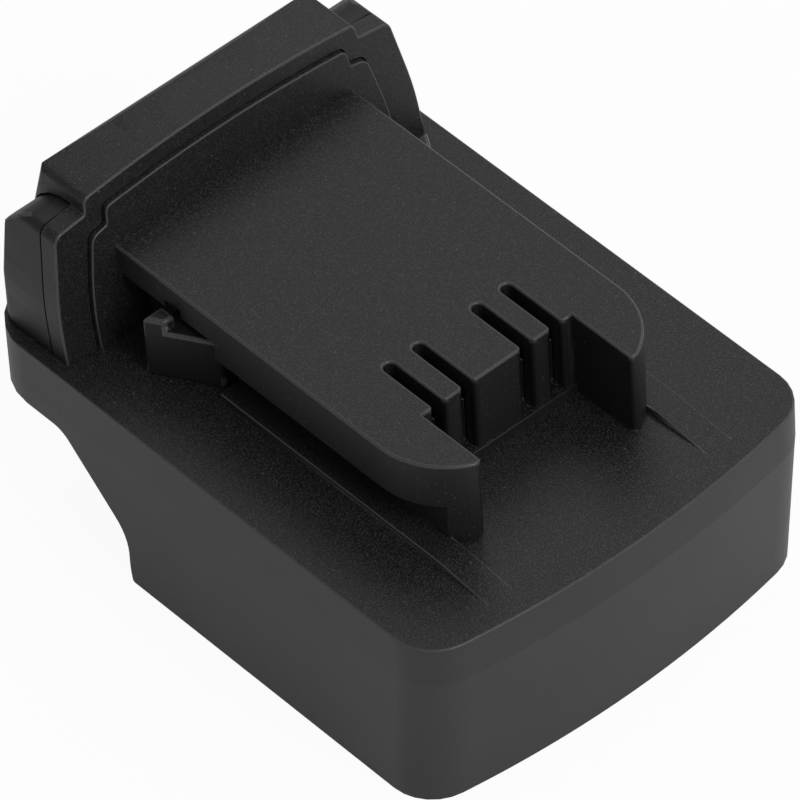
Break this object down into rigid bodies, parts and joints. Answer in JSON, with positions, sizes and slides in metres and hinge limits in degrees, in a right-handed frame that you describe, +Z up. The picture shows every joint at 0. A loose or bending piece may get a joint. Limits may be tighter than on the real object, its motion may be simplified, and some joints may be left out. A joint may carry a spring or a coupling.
{
  "type": "tool battery adapter",
  "caption": "Black adapter block with a slide-on tool rail, squeeze latches and an arched rear hump on top, and a slide-in battery receiver below.",
  "frame": {"origin": "middle of the footprint box, on the surface that the adapter stands on", "axes": "+X across, +Y from the terminal end to the hump, +Z up"},
  "size_m": [0.078, 0.106, 0.0616],
  "materials": {
    "black_plastic": "fine moulded grain",
    "grey_plastic": "plain moulded",
    "steel": "zinc plated",
    "brass": "stamped sheet",
    "board_green": "solder mask",
    "chip_black": "moulded",
    "lead_red": "soft sheath",
    "lead_black": "soft sheath",
    "lead_white": "soft sheath"
  },
  "bodies": {
    "casing": {"upper_casing": "black_plastic", "hump_cover": "black_plastic", "lower_housing": "black_plastic", "left_latch_spring": "steel", "right_latch_spring": "steel", "latch_plate": "grey_plastic", "latch_plate_screw": "steel", "hump_cover_screws": "steel", "terminal_block": "grey_plastic", "terminal_block_screws": "steel", "positive_clip": "brass", "negative_clip": "brass", "signal_clip_left": "brass", "signal_clip_right": "brass", "signal_board": "board_green", "board_chip": "chip_black", "board_resistors": "chip_black", "board_screw": "steel", "battery_terminal_block": "grey_plastic", "battery_block_screws": "steel", "positive_blade": "brass", "negative_blade": "brass", "positive_lead": "lead_red", "negative_lead": "lead_black", "sense_lead": "lead_white", "casing_screws": "steel"},
    "left_latch": {"left_latch": "black_plastic"},
    "right_latch": {"right_latch": "black_plastic"}
  },
  "joints": [
    {"name": "left_latch_slide", "type": "slide", "parent": "casing", "child": "left_latch", "axis": [1, 0, 0], "range_m": [0, 0.005], "stiffness_N_per_m": 1300, "springref_m": -0.002, "deforming": ["left_latch_spring"]},
    {"name": "right_latch_slide", "type": "slide", "parent": "casing", "child": "right_latch", "axis": [-1, 0, 0], "range_m": [0, 0.005], "stiffness_N_per_m": 1300, "springref_m": -0.002, "deforming": ["right_latch_spring"]}
  ]
}
